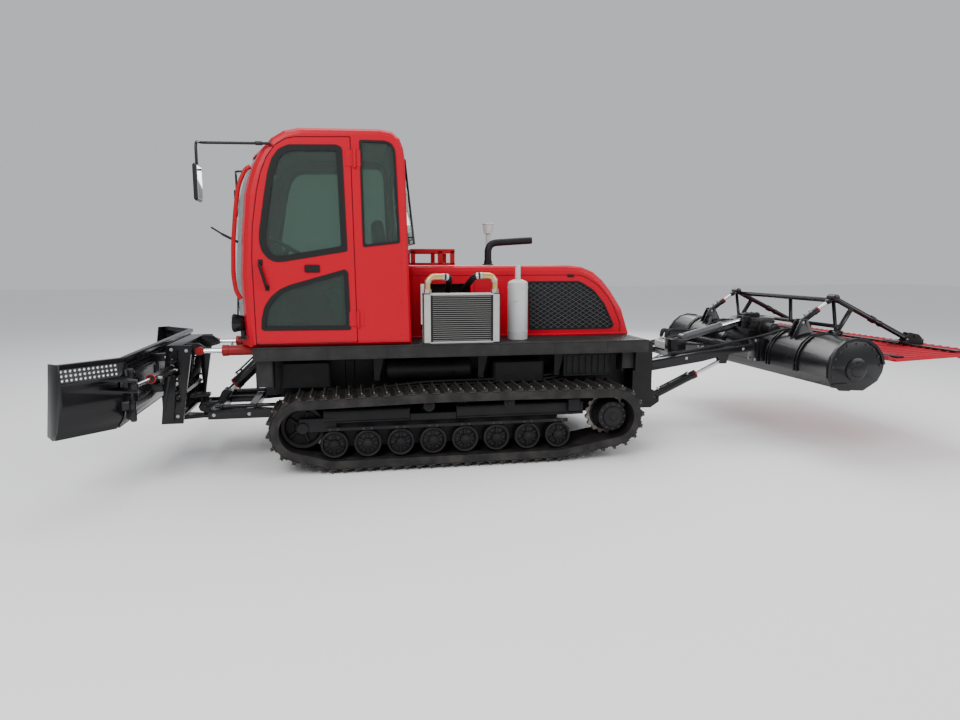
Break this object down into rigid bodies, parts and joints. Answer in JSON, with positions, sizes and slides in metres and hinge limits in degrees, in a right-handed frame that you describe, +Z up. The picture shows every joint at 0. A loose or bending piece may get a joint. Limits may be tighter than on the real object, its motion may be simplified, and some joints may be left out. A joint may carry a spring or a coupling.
{
  "type": "snow groomer",
  "caption": "Tracked snow groomer with a folding-wing front blade, a rear tiller with a smoothing mat, a cab with an opening door and a long engine hood.",
  "frame": {"origin": "on the ground under the middle of the machine's whole box", "axes": "+X backwards along the machine, -Y to its left side, +Z up"},
  "size_m": [7.0988, 2.8306, 2.59],
  "materials": {
    "red_paint": "glossy red paint",
    "rail_red": "satin red paint",
    "black_paint": "satin black paint",
    "chassis_black": "dull black paint",
    "track_steel": "dark worn steel",
    "deck_plate": "dark rolled plate",
    "cylinder_red": "dark red paint",
    "chrome": "polished rod",
    "aluminium": "bare aluminium",
    "light_grey": "light grey paint",
    "brass_hose": "yellowish fittings and hoses",
    "glass": "dark tinted glass",
    "mat_red": "dark red moulded mat",
    "seat_fabric": "dark woven cover",
    "cabin_plastic": "dark grained plastic"
  },
  "bodies": {
    "chassis": {"track_left": "track_steel", "track_right": "track_steel", "track_frame_left": "chassis_black", "track_frame_right": "chassis_black", "main_frame": "chassis_black", "deck": "deck_plate", "hood": "red_paint", "hood_grille_left": "black_paint", "hood_grille_right": "black_paint", "engine_block": "chassis_black", "guard_frame": "red_paint", "oil_cooler": "aluminium", "cooler_hoses": "brass_hose", "muffler": "light_grey", "exhaust_pipe": "chassis_black", "air_cleaner": "light_grey", "cab_shell": "red_paint", "windshield": "glass", "rear_glass": "glass", "side_glass_left": "glass", "side_glass_right": "glass", "seat_base": "cabin_plastic", "seat_pad": "seat_fabric", "control_console": "cabin_plastic", "handrail": "rail_red", "mirror_left": "black_paint", "mirror_right": "black_paint"},
    "door": {"cab_door": "red_paint", "door_glass_upper": "glass", "door_glass_lower": "glass"},
    "push_frame": {"push_frame": "black_paint"},
    "knuckle": {"blade_knuckle": "black_paint"},
    "blade": {"blade_carrier": "black_paint", "blade_center": "black_paint"},
    "wing_left": {"wing_left": "black_paint"},
    "wing_right": {"wing_right": "black_paint"},
    "lift_barrel": {"blade_lift_barrel": "black_paint"},
    "lift_rod": {"blade_lift_rod": "chrome"},
    "angle_barrels": {"angle_barrel_left": "cylinder_red", "angle_barrel_right": "cylinder_red"},
    "angle_rod_left": {"angle_rod_left": "chrome"},
    "angle_rod_right": {"angle_rod_right": "chrome"},
    "wing_barrel_left": {"wing_barrel_left": "black_paint"},
    "wing_barrel_right": {"wing_barrel_right": "black_paint"},
    "wing_rod_left": {"wing_rod_left": "chrome"},
    "wing_rod_right": {"wing_rod_right": "chrome"},
    "tiller": {"tiller_arms": "black_paint", "tilt_cylinder": "light_grey", "tiller_housing": "black_paint"},
    "tiller_barrels": {"tiller_barrel_left": "black_paint", "tiller_barrel_right": "black_paint"},
    "tiller_rods": {"tiller_rod_left": "chrome", "tiller_rod_right": "chrome"},
    "drum": {"tiller_drum": "track_steel"},
    "finisher": {"finisher_frame": "black_paint", "finisher_mat": "mat_red"},
    "finisher_barrels": {"finisher_barrel_left": "black_paint", "finisher_barrel_right": "black_paint"},
    "finisher_rods": {"finisher_rod_left": "chrome", "finisher_rod_right": "chrome"}
  },
  "joints": [
    {"name": "blade_lift", "type": "hinge", "parent": "chassis", "child": "push_frame", "pos_m": [-1.85, 0, 0.4], "axis": [0, 1, 0], "range_deg": [-17, 2]},
    {"name": "knuckle_pitch", "type": "hinge", "parent": "push_frame", "child": "knuckle", "pos_m": [-2.8, 0, 0.4], "axis": [0, 1, 0], "range_deg": [-2.05, 17.05]},
    {"name": "blade_angle", "type": "hinge", "parent": "knuckle", "child": "blade", "pos_m": [-2.8, 0, 0.4], "axis": [0, 0, 1], "range_deg": [-20, 20]},
    {"name": "angle_cylinder_tilt", "type": "hinge", "parent": "chassis", "child": "angle_barrels", "pos_m": [-2.2, 0, 0.905], "axis": [0, 1, 0], "range_deg": [-28.46, 3.39]},
    {"name": "angle_rod_left_slide", "type": "slide", "parent": "angle_barrels", "child": "angle_rod_left", "axis": [-1, 0, 0], "range_m": [-0.12616, 0.12616]},
    {"name": "angle_rod_right_slide", "type": "slide", "parent": "angle_barrels", "child": "angle_rod_right", "axis": [-1, 0, 0], "range_m": [-0.12616, 0.12616]},
    {"name": "lift_cylinder_tilt", "type": "hinge", "parent": "chassis", "child": "lift_barrel", "pos_m": [-2.235, 0, 0.87], "axis": [0, 1, 0], "range_deg": [-14.23, 1.72]},
    {"name": "lift_rod_slide", "type": "slide", "parent": "lift_barrel", "child": "lift_rod", "axis": [-0.7255, 0, -0.6883], "range_m": [-0.02136, 0.17783]},
    {"name": "wing_left_fold", "type": "hinge", "parent": "blade", "child": "wing_left", "pos_m": [-3.07, -1.084, 0.7], "axis": [0, 0, 1], "range_deg": [-7, 58]},
    {"name": "wing_cylinder_left_swing", "type": "hinge", "parent": "blade", "child": "wing_barrel_left", "pos_m": [-2.93, -0.52, 0.79], "axis": [0, 0, 1], "range_deg": [-1.61, 13]},
    {"name": "wing_rod_left_slide", "type": "slide", "parent": "wing_barrel_left", "child": "wing_rod_left", "axis": [-0.0798, -0.9968, 0], "range_m": [-0.14893, 0.01841]},
    {"name": "wing_right_fold", "type": "hinge", "parent": "blade", "child": "wing_right", "pos_m": [-3.07, 1.084, 0.7], "axis": [0, 0, -1], "range_deg": [-7, 58]},
    {"name": "wing_cylinder_right_swing", "type": "hinge", "parent": "blade", "child": "wing_barrel_right", "pos_m": [-2.93, 0.52, 0.79], "axis": [0, 0, -1], "range_deg": [-1.61, 13]},
    {"name": "wing_rod_right_slide", "type": "slide", "parent": "wing_barrel_right", "child": "wing_rod_right", "axis": [-0.0798, 0.9968, 0], "range_m": [-0.14893, 0.01841]},
    {"name": "tiller_lift", "type": "hinge", "parent": "chassis", "child": "tiller", "pos_m": [0.96, 0, 0.69], "axis": [0, -1, 0], "range_deg": [-20, 8]},
    {"name": "tiller_cylinder_tilt", "type": "hinge", "parent": "chassis", "child": "tiller_barrels", "pos_m": [1.06, 0, 0.425], "axis": [0, -1, 0], "range_deg": [-20.48, 8.22]},
    {"name": "tiller_rods_slide", "type": "slide", "parent": "tiller_barrels", "child": "tiller_rods", "axis": [0.9067, 0, 0.4218], "range_m": [-0.09875, 0.0398]},
    {"name": "drum_spin", "type": "hinge", "parent": "tiller", "child": "drum", "pos_m": [2.345, 0, 0.765], "axis": [0, 1, 0], "continuous": true},
    {"name": "finisher_lift", "type": "hinge", "parent": "tiller", "child": "finisher", "pos_m": [2.624, 0, 0.985], "axis": [0, 1, 0], "range_deg": [-12, 14]},
    {"name": "finisher_cylinder_tilt", "type": "hinge", "parent": "tiller", "child": "finisher_barrels", "pos_m": [2.278, 0, 1.091], "axis": [0, 1, 0], "range_deg": [-3.43, 3.99]},
    {"name": "finisher_rods_slide", "type": "slide", "parent": "finisher_barrels", "child": "finisher_rods", "axis": [0.8151, 0, 0.5794], "range_m": [-0.06011, 0.07005]},
    {"name": "door_open", "type": "hinge", "parent": "chassis", "child": "door", "pos_m": [-1.514, -0.79, 1.6], "axis": [0, 0, 1], "range_deg": [0, 100]}
  ],
  "couplings": [
    {"joint": "knuckle_pitch", "follows": "blade_lift", "ratio": -1},
    {"joint": "angle_cylinder_tilt", "follows": "blade_lift", "ratio": 1.6715},
    {"joint": "angle_rod_left_slide", "follows": "blade_angle", "m_per_rad": -0.36},
    {"joint": "angle_rod_right_slide", "follows": "blade_angle", "m_per_rad": 0.36},
    {"joint": "lift_cylinder_tilt", "follows": "blade_lift", "ratio": 0.83401},
    {"joint": "lift_rod_slide", "follows": "blade_lift", "m_per_rad": -0.59766},
    {"joint": "wing_cylinder_left_swing", "follows": "wing_left_fold", "ratio": 0.2233},
    {"joint": "wing_rod_left_slide", "follows": "wing_left_fold", "m_per_rad": -0.14663},
    {"joint": "wing_cylinder_right_swing", "follows": "wing_right_fold", "ratio": 0.2233},
    {"joint": "wing_rod_right_slide", "follows": "wing_right_fold", "m_per_rad": -0.14663},
    {"joint": "tiller_cylinder_tilt", "follows": "tiller_lift", "ratio": 1.0215},
    {"joint": "tiller_rods_slide", "follows": "tiller_lift", "m_per_rad": 0.28148},
    {"joint": "finisher_cylinder_tilt", "follows": "finisher_lift", "ratio": 0.28165},
    {"joint": "finisher_rods_slide", "follows": "finisher_lift", "m_per_rad": 0.28462}
  ]
}
